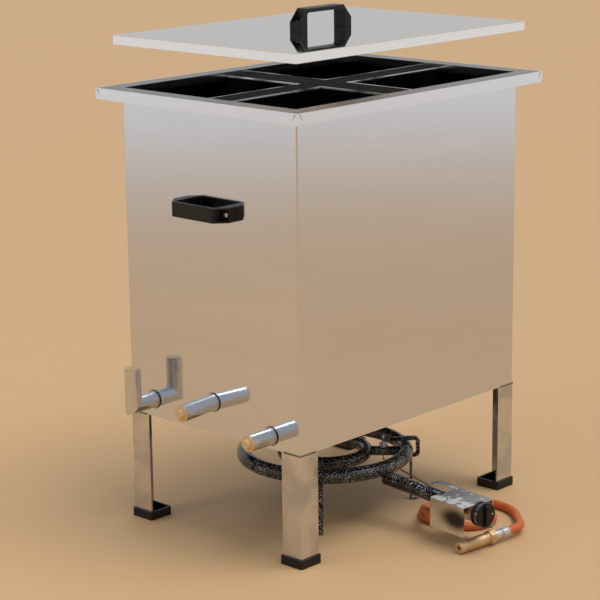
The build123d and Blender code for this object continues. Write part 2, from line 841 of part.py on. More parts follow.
# Valve body: brass plug valve with a bonnet for the stem and bosses for inlet and thermocouple
with BuildPart() as valve_body:
    with BuildSketch(valve_axis.offset(valve_start)):
        Circle(valve_radius)
    extrude(amount=valve_end - valve_start)
    with BuildSketch(valve_axis.offset(valve_end)):
        Circle(bonnet_radius)
    extrude(amount=bonnet_end - valve_end)
    with BuildSketch(level(inlet_boss_bottom)):
        with Locations((inlet_x, valve_y)):
            Circle(inlet_boss_radius)
    extrude(amount=valve_level - inlet_boss_bottom)
    with BuildSketch(facing_front(lead_boss_end, lead_boss_x, valve_level)):
        Circle(lead_boss_radius)
    extrude(amount=lead_boss_end - valve_y)
    with BuildSketch(valve_axis.offset(valve_end)):
        Circle(stem_radius + stem_fit)
    extrude(amount=bonnet_end - valve_end, mode=Mode.SUBTRACT)
save_turned(valve_body.part, "valve_body")

# Inlet elbow: turns the gas way from the valve to the hose
with BuildPart() as inlet_elbow:
    with BuildLine() as inlet_route:
        FilletPolyline(
            (inlet_x, valve_y, inlet_boss_bottom),
            (inlet_x, valve_y, hose_level),
            (inlet_face, valve_y, hose_level),
            radius=inlet_bend,
        )
    with BuildSketch(level(inlet_boss_bottom)):
        with Locations((inlet_x, valve_y)):
            Circle(inlet_radius)
    sweep()
save_turned(inlet_elbow.part, "inlet_elbow")

# Sleeve crimped over the hose at the inlet
hose_start = inlet_face - sleeve_length
with BuildPart() as inlet_sleeve:
    with BuildSketch(facing_side(hose_start, valve_y, hose_level)):
        Circle(sleeve_radius)
    extrude(amount=sleeve_length)
    chamfer(inlet_sleeve.edges().filter_by(GeomType.CIRCLE), sleeve_edge)
save_turned(inlet_sleeve.part, "inlet_sleeve")

# Valve stem, turned by the knob
with BuildPart() as valve_stem:
    with BuildSketch(valve_axis.offset(valve_end)):
        Circle(stem_radius)
    extrude(amount=stem_end - valve_end)
save_turned(valve_stem.part, "valve_stem")

# Knob: moulded disc with a grip bar across its face, and a chromed bezel pressed round it
with BuildPart() as knob_bezel:
    with BuildSketch(valve_axis.offset(knob_back + bezel_start)):
        Circle(bezel_radius)
        Circle(knob_radius + bezel_fit, mode=Mode.SUBTRACT)
    extrude(amount=bezel_length)
save_turned(knob_bezel.part, "knob_bezel")

with BuildPart() as knob:
    with BuildSketch(valve_axis.offset(knob_back)):
        Circle(knob_radius)
    extrude(amount=knob_disc_length)
    with BuildSketch(valve_axis.offset(knob_back + knob_disc_length)):
        SlotOverall(2 * (knob_radius - knob_grip_inset), knob_grip_width, rotation=90)
    extrude(amount=knob_grip_rise)
    fillet(knob.faces().sort_by(Axis.X)[-1].edges(), knob_round)
    with BuildSketch(valve_axis.offset(knob_back)):
        Circle(stem_radius + stem_fit)
    extrude(amount=stem_into_knob + push_travel + push_clearance, mode=Mode.SUBTRACT)
save_turned(knob.part, "knob")

# Thermocouple: upright probe beside a spoke, its bracket and its copper lead
probe_ring_distance = outer_ring_radius - probe_inwards
probe_way = outwards(probe_angle)
probe_x = burner_x + probe_ring_distance * probe_way[0]
probe_y = burner_y + probe_ring_distance * probe_way[1]
with BuildPart() as thermocouple:
    with BuildSketch(level(probe_bottom)):
        with Locations((probe_x, probe_y)):
            Circle(probe_radius)
    extrude(amount=probe_top - probe_bottom)
    fillet(thermocouple.edges().sort_by(Axis.Z)[-1], probe_round)
save(thermocouple.part, "thermocouple")

spoke_way = outwards(spoke_angles[0])
spoke_x = burner_x + probe_ring_distance * spoke_way[0]
spoke_y = burner_y + probe_ring_distance * spoke_way[1]
bracket_level = ring_level + spoke_tube
with BuildPart() as probe_bracket:
    with BuildSketch(level(bracket_level)):
        with Locations((spoke_x, spoke_y)):
            Circle(bracket_width / 2)
        with Locations((probe_x, probe_y)):
            Circle(bracket_width / 2)
        make_hull()
        with Locations((probe_x, probe_y)):
            Circle(probe_radius + hole_clearance, mode=Mode.SUBTRACT)
    extrude(amount=bracket_sheet)
save(probe_bracket.part, "probe_bracket")

lead_y = lead_boss_end + lead_bend
with BuildPart() as thermocouple_lead:
    with BuildLine() as lead_route:
        FilletPolyline(
            (probe_x, probe_y, probe_bottom),
            (probe_x, probe_y, ring_level - outer_tube - lead_bend),
            turned(box_start - 2 * feed_tube, lead_y, valve_level),
            turned(lead_boss_x, lead_y, valve_level),
            turned(lead_boss_x, lead_boss_end, valve_level),
            radius=lead_bend_radius,
        )
    with BuildSketch(level(probe_bottom)):
        with Locations((probe_x, probe_y)):
            Circle(lead_radius)
    sweep()
save(thermocouple_lead.part, "thermocouple_lead")

# Gas hose: straight runs joined by tangent arcs, as large as the runs allow
hose_points = [Vector(*turned(hose_start, valve_y, hose_level))]
hose_points += [Vector(*point) for point in hose_route]
hose_points.append(Vector(*hose_end))
hose_radii = []
for before, here, after in zip(hose_points, hose_points[1:], hose_points[2:]):
    run_in = here - before
    run_out = after - here
    turn = math.radians(run_in.get_angle(run_out))
    hose_radii.append(0.45 * min(run_in.length, run_out.length) / math.tan(turn / 2))
print("hose radii", [round(r) for r in hose_radii], "tightest", round(min(hose_radii), 1))
with BuildPart() as gas_hose:
    with BuildLine() as hose_line:
        FilletPolyline(*hose_points, radius=hose_radii)
    hose_path = hose_line.wires()[0]
    with BuildSketch(Plane(origin=hose_points[0], z_dir=hose_points[1] - hose_points[0])):
        Circle(hose_diameter / 2)
    sweep()
hose_length = hose_path.length
hose_volume = math.pi * hose_diameter**2 / 4 * hose_length
print("hose length", round(hose_length), "volume ratio", round(gas_hose.part.volume / hose_volume, 4))
samples = [hose_path.position_at(i / 400) for i in range(401)]
apart = int(2 * hose_diameter / hose_length * 400)
self_gap = min((a - b).length for i, a in enumerate(samples) for b in samples[i + apart:]) - hose_diameter
print("hose gap to itself", round(self_gap, 2), "lowest", round(gas_hose.part.bounding_box().min.Z, 2))
save(gas_hose.part, "gas_hose")

# Hose end: crimped ferrule, union nut and brass connector on one axis
fitting_way = (hose_points[-1] - hose_points[-2]).normalized()
fitting_plane = Plane(origin=hose_end, z_dir=fitting_way)
with BuildPart() as hose_ferrule:
    with BuildSketch(fitting_plane):
        Circle(ferrule_radius)
    extrude(amount=ferrule_length)
save(hose_ferrule.part, "hose_ferrule")

with BuildPart() as union_nut:
    with BuildSketch(fitting_plane.offset(ferrule_length)):
        RegularPolygon(union_nut_across / 2, 6, major_radius=False)
    extrude(amount=union_nut_length)
save(union_nut.part, "union_nut")

with BuildPart() as hose_connector:
    with BuildSketch(fitting_plane.offset(ferrule_length + union_nut_length)):
        Circle(connector_radius)
    extrude(amount=connector_length)
    chamfer(hose_connector.edges().filter_by(GeomType.CIRCLE), 1.0)
    with BuildSketch(fitting_plane.offset(ferrule_length + union_nut_length + connector_length / 2)):
        Circle(connector_bore)
    extrude(amount=connector_length / 2, mode=Mode.SUBTRACT)
save(hose_connector.part, "hose_connector")
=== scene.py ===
import math
import bmesh
import bpy
from mathutils import Matrix, Quaternion, Vector


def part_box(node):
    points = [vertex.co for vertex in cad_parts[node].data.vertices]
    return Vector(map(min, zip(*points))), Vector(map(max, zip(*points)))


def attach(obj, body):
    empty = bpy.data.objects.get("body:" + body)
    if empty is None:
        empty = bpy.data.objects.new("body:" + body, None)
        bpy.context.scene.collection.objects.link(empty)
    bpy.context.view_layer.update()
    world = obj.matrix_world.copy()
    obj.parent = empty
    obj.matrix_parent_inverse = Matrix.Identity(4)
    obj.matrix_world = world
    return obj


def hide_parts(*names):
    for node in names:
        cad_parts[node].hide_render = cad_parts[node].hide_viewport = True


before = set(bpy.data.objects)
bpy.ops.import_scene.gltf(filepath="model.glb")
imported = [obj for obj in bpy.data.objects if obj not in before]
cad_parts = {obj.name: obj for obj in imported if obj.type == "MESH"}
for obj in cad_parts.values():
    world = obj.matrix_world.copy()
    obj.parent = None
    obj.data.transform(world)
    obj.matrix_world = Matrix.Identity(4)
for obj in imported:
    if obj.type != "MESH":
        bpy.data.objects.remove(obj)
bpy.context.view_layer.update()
scene = bpy.context.scene

# Camera. It stands where the photograph was taken from, solved from the tank's corners and folds.
# Its focal length is given in pixels of a frame 600 pixels wide.
MM = 0.001
FOCAL_PIXELS = 2052.11
FRAME_PIXELS = 600
SENSOR_WIDTH = 36
CAMERA_AZIMUTH = math.radians(42.98)
CAMERA_ELEVATION = math.radians(13.92)
CAMERA_ROLL = math.radians(-0.66)
CAMERA_DISTANCE = 3446.56 * MM
AIM_RIGHT = -42.14 * MM
AIM_UP = 3.48 * MM
AIM_HEIGHT = 350 * MM
back = Vector((math.sin(CAMERA_AZIMUTH) * math.cos(CAMERA_ELEVATION),
               -math.cos(CAMERA_AZIMUTH) * math.cos(CAMERA_ELEVATION),
               math.sin(CAMERA_ELEVATION)))
right = Vector((math.cos(CAMERA_AZIMUTH), math.sin(CAMERA_AZIMUTH), 0))
up = back.cross(right)
aim = Vector((0, 0, AIM_HEIGHT)) + AIM_RIGHT * right + AIM_UP * up
camera_place = aim + CAMERA_DISTANCE * back
rolled_right = math.cos(CAMERA_ROLL) * right + math.sin(CAMERA_ROLL) * up
rolled_up = math.cos(CAMERA_ROLL) * up - math.sin(CAMERA_ROLL) * right
bpy.ops.object.camera_add(location=camera_place)
camera = bpy.context.object
camera.data.sensor_width = SENSOR_WIDTH
camera.data.lens = FOCAL_PIXELS / FRAME_PIXELS * SENSOR_WIDTH
turn = Matrix((rolled_right, rolled_up, back)).transposed()
camera.matrix_world = Matrix.Translation(camera_place) @ turn.to_4x4()
scene.camera = camera


# Gas hose. A rubber tube of 14 mm in orange, satin and a little dusty. It leaves the sleeve in the
# control box, falls to the floor and lies in two loose turns. Its material is the first one here,
# so the class and the few functions that every material uses stand in this section.
class Field:
    """A value that varies over a surface. Sums on fields add Math nodes to their material."""

    def __init__(self, tree, socket=None):
        self.tree = tree
        self.socket = socket

    def node(self, kind, settings, sockets, output=0):
        """Adds a node: its settings first, then values for its sockets or links to them."""
        made = self.tree.nodes.new("ShaderNode" + kind)
        for setting, value in settings.items():
            setattr(made, setting, value)
        for name, value in sockets.items():
            socket = made.inputs[name]
            if isinstance(value, Field):
                self.tree.links.new(value.socket, socket)
            elif socket.type == "RGBA":
                socket.default_value = (*value, 1)
            else:
                socket.default_value = value
        return Field(self.tree, made.outputs[output] if made.outputs else None)

    def combine(self, operation, first, second):
        return self.node("Math", {"operation": operation}, {0: first, 1: second})

    def __add__(self, other):
        return self.combine("ADD", self, other)

    def __sub__(self, other):
        return self.combine("SUBTRACT", self, other)

    def __rsub__(self, other):
        return self.combine("SUBTRACT", other, self)

    def __mul__(self, other):
        return self.combine("MULTIPLY", self, other)

    def __abs__(self):
        return self.combine("ABSOLUTE", self, 0)

    __radd__ = __add__
    __rmul__ = __mul__


def finish(name, colour, metallic, roughness):
    """Starts a material with constant values. Returns it with the place on the piece, in metres."""
    made = bpy.data.materials.new(name)
    made.use_nodes = True
    shader = made.node_tree.nodes["Principled BSDF"]
    shader.inputs["Base Color"].default_value = (*colour, 1)
    shader.inputs["Metallic"].default_value = metallic
    shader.inputs["Roughness"].default_value = roughness
    return made, Field(made.node_tree).node("TexCoord", {}, {}, "Object")


def coat(material, **fields):
    """Leads fields to the shader's sockets."""
    shader = material.node_tree.nodes["Principled BSDF"]
    for name, field in fields.items():
        material.node_tree.links.new(field.socket, shader.inputs[name.replace("_", " ")])


def grain(place, scale, stretch=(1, 1, 1), detail=3.0):
    """Noise from 0 to 1, with so many waves to the metre, stretched along the axes."""
    stretched = place.node("Mapping", {}, {"Vector": place, "Scale": stretch})
    sockets = {"Vector": stretched, "Scale": scale, "Detail": detail}
    return place.node("TexNoise", {}, sockets, "Fac")


def fade(value, low, high):
    """0 below the low value and 1 above the high one."""
    limits = {"Value": value, "From Min": low, "From Max": high}
    return value.node("MapRange", {"interpolation_type": "SMOOTHSTEP"}, limits, "Result")


def tint(amount, first, second):
    """The first colour where the amount is 0, and the second where it is 1."""
    return amount.node("Mix", {"data_type": "RGBA"}, {0: amount, 6: first, 7: second}, 2)


def relief(height, distance, strength):
    """Lets the surface stand up by so many metres where the height is 1."""
    sockets = {"Height": height, "Distance": distance, "Strength": strength}
    return height.node("Bump", {}, sockets, "Normal")


def along(place, axis):
    """The place along one axis."""
    return place.node("SeparateXYZ", {}, {0: place}, axis)


orange_rubber, place = finish("orange_rubber", (0.60, 0.14, 0.03), metallic=0.0, roughness=0.45)
dust = grain(place, 45, detail=5)
pores = grain(place, 900, detail=2)
rubber_tone = tint(dust, (0.47, 0.085, 0.008), (0.70, 0.165, 0.026))
coat(orange_rubber, Base_Color=rubber_tone, Roughness=0.42 + dust * 0.22,
     Normal=relief(pores, 0.1 * MM, 0.35))

HOSE_DIAMETER = 14 * MM
HOSE_START = (281.682, -18.665, 36)
HOSE_END = (353.2, 46.9, 15.5)
HOSE_ROUTE = [
    HOSE_START,
    (256.8, -15.9, 36),
    (232, -9, 34.5),
    (211, 5, 31),
    (197, 26, 25),
    (190, 50, 17),
    (192, 76, 10),
    (204, 99, 7.4),
    (225, 114, 7.4),
    (250, 118, 7.4),
    (274, 109, 7.4),
    (290, 90, 7.4),
    (294, 65, 7.4),
    (284, 42, 7.4),
    (263, 28, 7.4),
    (237, 21, 7.4),
    (211, 20, 7.4),
    (188, 29, 7.4),
    (173, 49, 7.4),
    (168, 75, 7.4),
    (172, 101, 7.4),
    (186, 124, 7.4),
    (208, 142, 7.4),
    (235, 153, 7.4),
    (263, 155, 7.4),
    (290, 146, 7.4),
    (311, 129, 7.6),
    (328, 111, 9.2),
    (345, 92, 13.2),
    (357.4, 70.5, 16.7),
    HOSE_END,
]
hose_curve = bpy.data.curves.new("gas_hose_curve", "CURVE")
hose_curve.dimensions = "3D"
hose_curve.bevel_depth = HOSE_DIAMETER / 2
hose_curve.bevel_resolution = 8
hose_curve.resolution_u = 8
hose_curve.use_fill_caps = True
spline = hose_curve.splines.new("NURBS")
spline.points.add(len(HOSE_ROUTE) - 1)
for point, spot in zip(spline.points, HOSE_ROUTE):
    point.co = (spot[0] * MM, spot[1] * MM, spot[2] * MM, 1)
spline.order_u = 3
spline.use_endpoint_u = True
hose_curve.materials.append(orange_rubber)
hose = bpy.data.objects.new("hose", hose_curve)
scene.collection.objects.link(hose)
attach(hose, "burner")
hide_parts("gas_hose")


# Ferrule. A plated steel collar that is crimped over the hose's free end, with rolled grooves near
# its middle. It is the first modelled piece, so the ways of modelling by hand stand here.
def only(piece):
    """Leaves just this piece selected, and active."""
    bpy.ops.object.select_all(action="DESELECT")
    piece.select_set(True)
    bpy.context.view_layer.objects.active = piece


def pick_faces(piece, wanted):
    """Goes into edit mode with just the faces selected whose place or normal passes the test."""
    only(piece)
    bpy.ops.object.mode_set(mode="EDIT")
    bpy.ops.mesh.select_mode(type="FACE")
    bpy.ops.mesh.select_all(action="DESELECT")
    shape = bmesh.from_edit_mesh(piece.data)
    for face in shape.faces:
        face.select_set(wanted(face))
    bmesh.update_edit_mesh(piece.data)


def draw_out(name, radius, length, steps, sides=64):
    """A turned form along Z. It starts as a cylinder, and its top face is extruded step by step.
    Each step is how far it goes and the radius that it then has, in millimetres."""
    bpy.ops.object.select_all(action="DESELECT")
    bpy.ops.mesh.primitive_cylinder_add(vertices=sides, radius=radius * MM, depth=length * MM,
                                        location=(0, 0, length * MM / 2))
    piece = bpy.context.object
    piece.name = name
    bpy.ops.object.transform_apply(location=True, rotation=False, scale=False)
    pick_faces(piece, lambda face: face.normal.z > 0.9)
    for advance, wide in steps:
        bpy.ops.mesh.extrude_region_move(TRANSFORM_OT_translate={"value": (0, 0, advance * MM)})
        bpy.ops.transform.resize(value=(wide / radius, wide / radius, 1),
                                 center_override=(0, 0, 0))
        radius = wide
    bpy.ops.object.mode_set(mode="OBJECT")
    return piece


def stand(piece, start, way):
    """Puts a piece that was modelled along Z on its own axis, and applies that to its mesh."""
    piece.rotation_mode = "QUATERNION"
    piece.rotation_quaternion = Vector(way).to_track_quat("Z", "Y")
    piece.location = start
    only(piece)
    bpy.ops.object.transform_apply(location=True, rotation=True, scale=True)


def hand_over(piece, body, material, sharp=35):
    """Gives a finished piece its material and the body that it moves with, and shades it smooth
    but for edges sharper than so many degrees."""
    only(piece)
    bpy.ops.object.shade_smooth_by_angle(angle=math.radians(sharp))
    piece.data.materials.clear()
    piece.data.materials.append(material)
    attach(piece, body)


plated, place = finish("plated_steel", (0.60, 0.60, 0.59), metallic=1.0, roughness=0.25)
cloud = grain(place, 90, detail=3)
plated_tone = tint(cloud, (0.56, 0.56, 0.55), (0.74, 0.74, 0.73))
coat(plated, Base_Color=plated_tone, Roughness=0.18 + cloud * 0.18)

FERRULE_LENGTH = 31
FERRULE_STEPS = [
    (0.6, 7.9), (4, 7.9), (3.2, 7.75), (4, 7.95), (1.6, 7.9),
    (0.3, 6.7), (1.4, 6.7), (0.3, 7.9), (1.2, 7.9), (0.3, 6.9), (0.6, 6.9), (0.3, 7.9),
    (1.6, 7.95), (4, 7.75), (3.2, 7.9), (4.2, 7.9), (1.1, 7.3), (0, 5.0),
]
fitting_start = Vector(HOSE_END) * MM
fitting_way = (Vector(HOSE_END) - Vector(HOSE_ROUTE[-2])).normalized()
ferrule = draw_out("hose_ferrule_rolled", radius=7.5, length=0.5, steps=FERRULE_STEPS)
stand(ferrule, fitting_start, fitting_way)
hand_over(ferrule, "burner", plated)
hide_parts("hose_ferrule")

# Union nut. A hexagon of brass, 22 mm across its flats, with turned corners and a round neck: a
# six-sided prism cut to the shape of a turned form.
brass, place = finish("brass", (0.56, 0.39, 0.22), metallic=1.0, roughness=0.4)
tarnish = grain(place, 70, detail=4)
turning = grain(place, 1, stretch=(200, 1500, 200), detail=2)
brass_tone = tint(tarnish, (0.50, 0.33, 0.18), (0.80, 0.57, 0.34))
coat(brass, Base_Color=brass_tone, Roughness=0.40 + tarnish * 0.2,
     Normal=relief(turning, 0.03 * MM, 0.3))

UNION_ACROSS = 22
UNION_LENGTH = 18
UNION_STEPS = [
    (1.6, 11.9), (5, 12.3), (4.5, 11.9), (1.5, 10.0),
    (0.2, 9.2), (4.2, 9.2), (0.8, 8.6), (0, 7),
]
union_corner = UNION_ACROSS / 2 / math.cos(math.pi / 6)


def carve(piece, tool, operation):
    """Cuts a piece with another one, which is then thrown away."""
    only(piece)
    cut = piece.modifiers.new("cut", "BOOLEAN")
    cut.operation = operation
    cut.object = tool
    bpy.ops.object.modifier_apply(modifier="cut")
    bpy.data.objects.remove(tool)


union = draw_out("union_nut_turned", radius=10.2, length=0.2, steps=UNION_STEPS, sides=96)
prism = draw_out("union_prism", radius=union_corner, length=UNION_LENGTH / 2,
                 steps=[(UNION_LENGTH / 2, union_corner)], sides=6)
carve(union, prism, "INTERSECT")
stand(union, fitting_start + fitting_way * FERRULE_LENGTH * MM, fitting_way)
hand_over(union, "burner", brass, sharp=25)
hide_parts("union_nut")

# Connector. A long brass tube that the union nut holds, with a fine turned line near its middle, a
# groove near its end, and a cross-shaped gas way in the end face.
CONNECTOR_LENGTH = 57
CONNECTOR_STEPS = [
    (0.6, 9.45), (20, 9.45), (0.4, 9.25), (1, 9.25), (0.4, 9.45), (21.4, 9.45),
    (0.8, 8.6), (1.6, 8.6), (0.8, 9.45), (8.6, 9.45), (1.2, 8.4), (0, 6.6), (-0.8, 6.2),
]


def cut_cross(piece, height, across, wide, deep):
    """Cuts a cross, in millimetres, round the axis of a piece that still stands along Z."""
    for size_x, size_y in ((across, wide), (wide, across)):
        bpy.ops.object.select_all(action="DESELECT")
        bpy.ops.mesh.primitive_cube_add(size=MM, location=(0, 0, height * MM))
        slot = bpy.context.object
        slot.scale = (size_x, size_y, deep)
        only(slot)
        bpy.ops.object.transform_apply(location=True, rotation=False, scale=True)
        carve(piece, slot, "DIFFERENCE")


connector = draw_out("hose_connector_turned", radius=9.0, length=0.2, steps=CONNECTOR_STEPS)
cut_cross(connector, height=CONNECTOR_LENGTH, across=10.0, wide=2.6, deep=14)
stand(connector, fitting_start + fitting_way * (FERRULE_LENGTH + UNION_LENGTH) * MM, fitting_way)
hand_over(connector, "burner", brass)
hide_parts("hose_connector")

# Tank. Stainless sheet of 1.5 mm, folded at the corners and welded. Outside it is ground with a
# level grain and still mirrors what stands close to it. Its inside is painted black as painted
# shade.
WELD_GAP = 0.02 * MM
SHARP_EDGE = math.radians(50)


def dress(names, material, edge=0.0, segments=2):
    """Gives CAD nodes their material, and rounds their sharp edges where a width is given."""
    for name in names:
        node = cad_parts[name]
        node.data.materials.clear()
        node.data.materials.append(material)
        if edge:
            node.modifiers.new("join", "WELD").merge_threshold = WELD_GAP
            rounding = node.modifiers.new("edges", "BEVEL")
            rounding.width = edge * MM
            rounding.segments = segments
            rounding.limit_method = "ANGLE"
            rounding.angle_limit = SHARP_EDGE
            rounding.use_clamp_overlap = True


SHELL = 1.5 * MM
INNER_FACE = 0.9 * SHELL
OUTER_FACE = 0.5 * SHELL
tank_low, tank_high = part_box("tank_shell")
HALF_WIDTH = tank_high.x
HALF_LENGTH = tank_high.y
tank_steel, place = finish("tank_steel", (0.60, 0.59, 0.58), metallic=1.0, roughness=0.14)
ground = grain(place, 1, stretch=(5, 5, 1400), detail=4)
smudge = grain(place, 5)
streak = grain(place, 1, stretch=(2, 2, 40), detail=2)
from_side = 1 - fade(abs(along(place, "X")), HALF_WIDTH - INNER_FACE, HALF_WIDTH - OUTER_FACE)
from_end = 1 - fade(abs(along(place, "Y")), HALF_LENGTH - INNER_FACE, HALF_LENGTH - OUTER_FACE)
inside = from_side * from_end
outer = tint(ground * 0.6 + streak * 0.4, (0.64, 0.675, 0.76), (0.74, 0.775, 0.86))
# Painted shade: the inner face is coloured almost black.
wall_tone = tint(inside, outer, (0.020, 0.019, 0.018))
coat(tank_steel, Base_Color=wall_tone, Roughness=0.035 + ground * 0.03 + smudge * 0.05,
     Normal=relief(ground, 0.01 * MM, 0.06))
dress(["tank_shell"], tank_steel)

# Rim. A flat frame of sheet with its outer edge folded down, mitred and welded at the corners,
# where a notch stays open. The mitres show as thin dark lines on the flange.
MITRE_LINE = (0.3 * MM, 0.9 * MM)
BAND_START = (26.5 * MM, 28.5 * MM)
rim_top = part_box("rim_frame")[1].z
rim_steel, place = finish("rim_steel", (0.60, 0.60, 0.59), metallic=1.0, roughness=0.2)
rim_grain = grain(place, 1, stretch=(8, 8, 1200), detail=4)
past_x = abs(along(place, "X")) - HALF_WIDTH
past_y = abs(along(place, "Y")) - HALF_LENGTH
mitre = 1 - fade(abs(past_x - past_y), *MITRE_LINE)
on_top = fade(along(place, "Z"), rim_top - 0.4 * MM, rim_top - 0.1 * MM)
band_x = fade(past_x, *BAND_START)
band_y = fade(past_y, *BAND_START)
flange = on_top * (1 - band_x) * (1 - band_y)
sheet = tint(rim_grain, (0.70, 0.72, 0.78), (0.80, 0.82, 0.88))
# The top of the flange is coloured dark grey, varied a little at random.
flange_dark_tone = tint(grain(place, 30, detail=4), (0.035, 0.035, 0.035), (0.09, 0.087, 0.084))
sheet_and_dark_flange = tint(flange, sheet, flange_dark_tone)
rim_tone = tint(mitre * on_top, sheet_and_dark_flange, (0.03, 0.03, 0.03))
coat(rim_steel, Base_Color=rim_tone, Roughness=0.10 + rim_grain * 0.1,
     Normal=relief(rim_grain, 0.01 * MM, 0.1))
dress(["rim_frame"], rim_steel)


# Inside the tank. The grids, the tray, their rails and the plate below are thin stainless sheet and
# flat bar, glossy and painted almost black as painted shade.
def dim(material, level):
    """Lowers how much a material that isn't metal mirrors when it is looked at straight."""
    shader = material.node_tree.nodes["Principled BSDF"]
    shader.inputs["Specular IOR Level"].default_value = level


shaded_inner_steel, place = finish("shaded_inner_steel", (0.006, 0.006, 0.006), metallic=0.0, roughness=0.08)
dim(shaded_inner_steel, 0.02)
film = grain(place, 9, detail=4)
runs = grain(place, 1, stretch=(60, 60, 4), detail=3)
# Painted shade: a near-black colour that varies a little at random.
inner_shade_tone = tint(film, (0.003, 0.003, 0.003), (0.012, 0.011, 0.010))
coat(shaded_inner_steel, Base_Color=inner_shade_tone, Roughness=0.05 + film * 0.10,
     Normal=relief(film + runs * 0.5, 0.6 * MM, 0.25))
dress(["tank_floor", "wax_tray", "tray_walls", "tray_rails", "comb_grids", "grid_runners",
       "grid_ledges"], shaded_inner_steel)


# Steam cross. A hollow cross of thin sheet that divides the opening into four wells. It is painted
# as black as the rest of the inside, as painted shade, with painted highlights along its folded
# edges.
def arm_edges(across, lengthways, half, line, crossing):
    """Lines on both edges of an arm of the cross, which stop where the arms cross."""
    off_edge = abs(abs(across) - half * MM)
    past_crossing = fade(abs(lengthways), crossing[0] * MM, crossing[1] * MM)
    return (1 - fade(off_edge, line[0] * MM, line[1] * MM)) * past_crossing


cross_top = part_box("steam_cross")[1].z
cross_steel, place = finish("cross_steel", (0.01, 0.01, 0.01), metallic=0.0, roughness=0.12)
dim(cross_steel, 0.0005)
long_arm = arm_edges(along(place, "X"), along(place, "Y"), half=26.5, line=(3.0, 3.8),
                     crossing=(31, 32))
short_arm = arm_edges(along(place, "Y"), along(place, "X"), half=35.0, line=(4.0, 5.0),
                      crossing=(22, 23))
near_top = fade(along(place, "Z"), cross_top - 3.2 * MM, cross_top - 2.4 * MM)
cross_film = grain(place, 12, detail=4)
# Painted shade: the cross is coloured almost black.
cross_painted_shade = tint(cross_film, (0.004, 0.004, 0.004), (0.014, 0.013, 0.012))
# Painted highlight: bright, metallic lines along the top edges of the arms.
painted_edge_highlight = (long_arm + short_arm) * near_top * fade(cross_film, 0.30, 0.55)
cross_tone = tint(painted_edge_highlight, cross_painted_shade, (0.86, 0.85, 0.83))
coat(cross_steel, Base_Color=cross_tone, Metallic=painted_edge_highlight, Roughness=0.07 + cross_film * 0.12,
     Normal=relief(cross_film, 0.4 * MM, 0.2))
dress(["steam_cross"], cross_steel, edge=1.2, segments=3)

# Legs. Equal angle of 40 mm in stainless steel, as it was rolled, with duller blotches. They are
# welded under the shell's corners.
leg_steel, place = finish("leg_steel", (0.56, 0.555, 0.55), metallic=1.0, roughness=0.22)
rolled = grain(place, 1, stretch=(700, 700, 8), detail=4)
blotch = fade(grain(place, 1, stretch=(14, 14, 22), detail=3), 0.42, 0.62)
leg_clean = tint(rolled, (0.60, 0.60, 0.62), (0.72, 0.72, 0.74))
leg_tone = tint(blotch * 0.6, leg_clean, (0.42, 0.44, 0.48))
coat(leg_steel, Base_Color=leg_tone, Roughness=0.10 + rolled * 0.10 + blotch * 0.10,
     Normal=relief(rolled, 0.01 * MM, 0.15))
dress(["leg_front_left", "leg_front_right", "leg_rear_left", "leg_rear_right"], leg_steel,
      edge=0.4)

# Feet. Cups moulded in black plastic with a fine leathery surface, one pushed over the end of each
# leg. The handles and the knob are of the same plastic.
moulded, place = finish("moulded_black", (0.010, 0.010, 0.011), metallic=0.0, roughness=0.34)
dim(moulded, 0.3)
leather = grain(place, 1800, detail=2)
rubbed = grain(place, 30, detail=4)
moulded_tone = tint(rubbed, (0.003, 0.003, 0.0035), (0.010, 0.010, 0.0105))
coat(moulded, Base_Color=moulded_tone, Roughness=0.26 + rubbed * 0.18,
     Normal=relief(leather, 0.06 * MM, 0.3))
dress(["foot_front_left", "foot_front_right", "foot_rear_left", "foot_rear_right"], moulded,
      edge=0.9, segments=3)


# Weld beads. Eight short beads of stainless weld, one along each flange of a leg under the shell's
# lower edge, with the scales that welding leaves.
def twin(piece):
    """A copy of a piece, with its own mesh."""
    copy = piece.copy()
    copy.data = piece.data.copy()
    scene.collection.objects.link(copy)
    return copy


def make_one(pieces, name):
    """Joins pieces into the first of them, and names it."""
    only(pieces[0])
    for piece in pieces:
        piece.select_set(True)
    bpy.ops.object.join()
    pieces[0].name = name
    return pieces[0]


LEG_SIZE = 40
BEAD_SCALES = 14
BEAD_INSET = 1 * MM
weld_steel, place = finish("weld_steel", (0.30, 0.29, 0.28), metallic=1.0, roughness=0.4)
heat = grain(place, 160, detail=4)
weld_tone = tint(heat, (0.05, 0.04, 0.035), (0.34, 0.31, 0.28))
coat(weld_steel, Base_Color=weld_tone, Roughness=0.28 + heat * 0.3,
     Normal=relief(heat, 0.2 * MM, 0.4))
leg_low, leg_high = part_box("leg_front_right")
bead_scale = (LEG_SIZE - 2) / BEAD_SCALES
bead_steps = [(bead_scale * 0.3, 1.3),
              *[(bead_scale * 0.5, 1.6), (bead_scale * 0.5, 1.2)] * (BEAD_SCALES - 1),
              (bead_scale * 0.3, 0.5)]
bead = draw_out("leg_weld_bead", radius=0.6, length=0.4, steps=bead_steps, sides=12)
beads = []
for side in (-1, 1):
    for end in (-1, 1):
        for way in ((-side, 0, 0), (0, -end, 0)):
            leg_corner = Vector((side * leg_high.x, -end * leg_low.y, tank_low.z))
            beads.append(twin(bead))
            stand(beads[-1], leg_corner - Vector(way) * BEAD_INSET, way)
bpy.data.objects.remove(bead)
leg_beads = make_one(beads, "leg_weld_beads")
hand_over(leg_beads, "tank", weld_steel, sharp=60)

